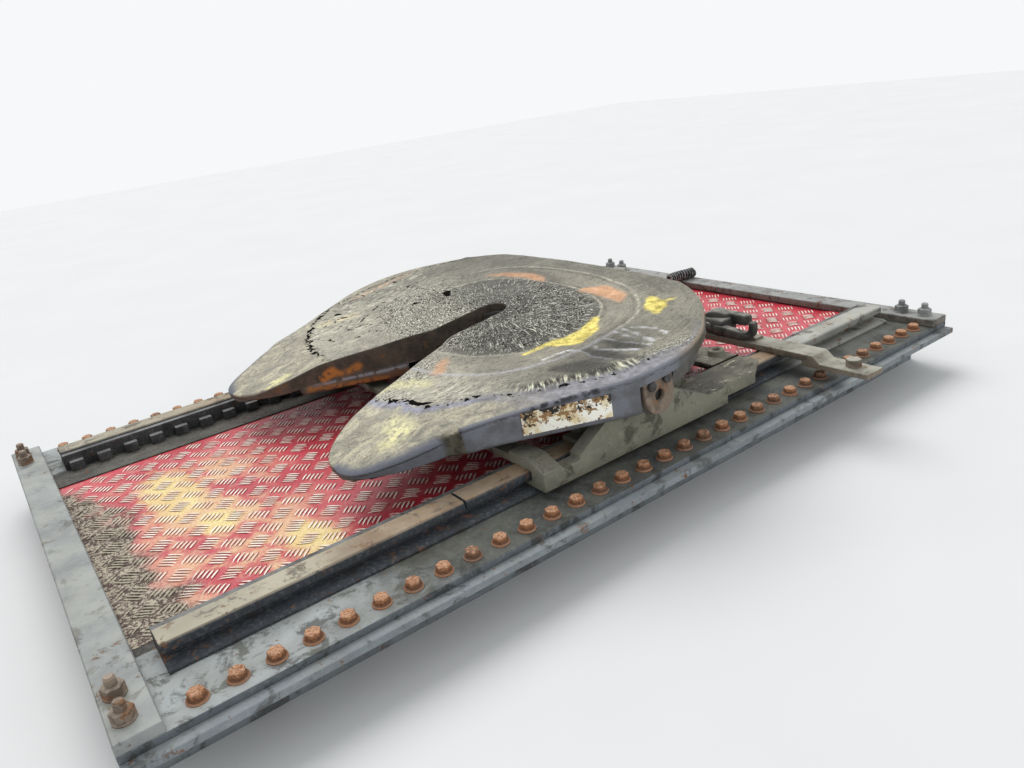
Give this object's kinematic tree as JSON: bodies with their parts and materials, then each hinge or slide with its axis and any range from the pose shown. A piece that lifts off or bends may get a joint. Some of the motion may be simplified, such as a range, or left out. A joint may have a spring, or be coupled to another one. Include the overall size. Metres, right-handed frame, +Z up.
{
  "type": "sliding fifth wheel coupling",
  "caption": "Pitching horseshoe coupling plate with a kingpin lock, on a carriage that slides on toothed rails over a bolted mounting frame.",
  "frame": {"origin": "centre of the frame on the plane of the mounting angles' lower edges", "axes": "+X towards the cab, +Y to the vehicle's left, +Z up"},
  "size_m": [1.5, 1.08, 0.2676],
  "materials": {
    "casting": "greasy, worn",
    "carriage_paint": "dull",
    "frame_paint": "dull",
    "rail_steel": "worn",
    "strap_paint": "dull",
    "rusty_steel": "rusted",
    "machined_steel": "oiled",
    "red_chequer": "glossy, dirty",
    "label_white": "scuffed",
    "black_rubber": "matt"
  },
  "bodies": {
    "mounting_frame": {"mounting_angle_right": "frame_paint", "mounting_angle_left": "frame_paint", "mounting_plate_right": "frame_paint", "mounting_plate_left": "frame_paint", "slider_rail_right": "rail_steel", "slider_rail_left": "rail_steel", "lock_rack_right": "rail_steel", "lock_rack_left": "rail_steel", "flange_bolts_right": "rusty_steel", "flange_bolts_left": "rusty_steel", "leg_bolts_right": "machined_steel", "leg_bolts_left": "machined_steel", "rear_strap": "strap_paint", "rear_strap_nuts": "machined_steel", "front_strap": "strap_paint", "front_strap_nuts": "machined_steel", "cross_bar": "strap_paint", "fork_bracket": "casting", "wrapped_hose": "black_rubber", "infill_plate": "red_chequer"},
    "carriage": {"carriage": "carriage_paint", "pivot_pin_right": "machined_steel", "pivot_pin_left": "machined_steel", "lock_cylinder": "carriage_paint"},
    "plunger_left": {"lock_plunger_left": "machined_steel"},
    "plunger_right": {"lock_plunger_right": "machined_steel"},
    "coupling_plate": {"top_plate": "casting", "kingpin_block": "casting", "wear_ring": "machined_steel", "jaw_pin": "machined_steel", "lock_keeper": "machined_steel", "bearing_cover_right": "rusty_steel", "bearing_cover_left": "rusty_steel", "cover_bolts_right": "machined_steel", "cover_bolts_left": "machined_steel", "label_plate": "label_white"},
    "lock_jaw": {"lock_jaw": "machined_steel"},
    "lock_bar": {"lock_bar": "machined_steel", "release_handle": "rusty_steel"}
  },
  "joints": [
    {"name": "carriage_slide", "type": "slide", "parent": "mounting_frame", "child": "carriage", "axis": [1, 0, 0], "range_m": [-0.45, 0.045]},
    {"name": "plate_pitch", "type": "hinge", "parent": "carriage", "child": "coupling_plate", "pos_m": [0.004, 0, 0.19], "axis": [0, 1, 0], "range_deg": [0, 12]},
    {"name": "jaw_swing", "type": "hinge", "parent": "coupling_plate", "child": "lock_jaw", "pos_m": [0.07653, 0.075, 0.18729], "axis": [-0.1219, 0, 0.9925], "range_deg": [0, 56]},
    {"name": "bar_slide", "type": "slide", "parent": "coupling_plate", "child": "lock_bar", "axis": [0, 1, 0], "range_m": [-0.09, 0]},
    {"name": "plunger_left_slide", "type": "slide", "parent": "carriage", "child": "plunger_left", "axis": [0, 1, 0], "range_m": [0, 0.02]},
    {"name": "plunger_right_slide", "type": "slide", "parent": "carriage", "child": "plunger_right", "axis": [0, 1, 0], "range_m": [-0.02, 0]}
  ],
  "couplings": [
    {"joint": "bar_slide", "follows": "jaw_swing", "m_per_rad": -0.092},
    {"joint": "plunger_right_slide", "follows": "plunger_left_slide", "ratio": -1}
  ]
}
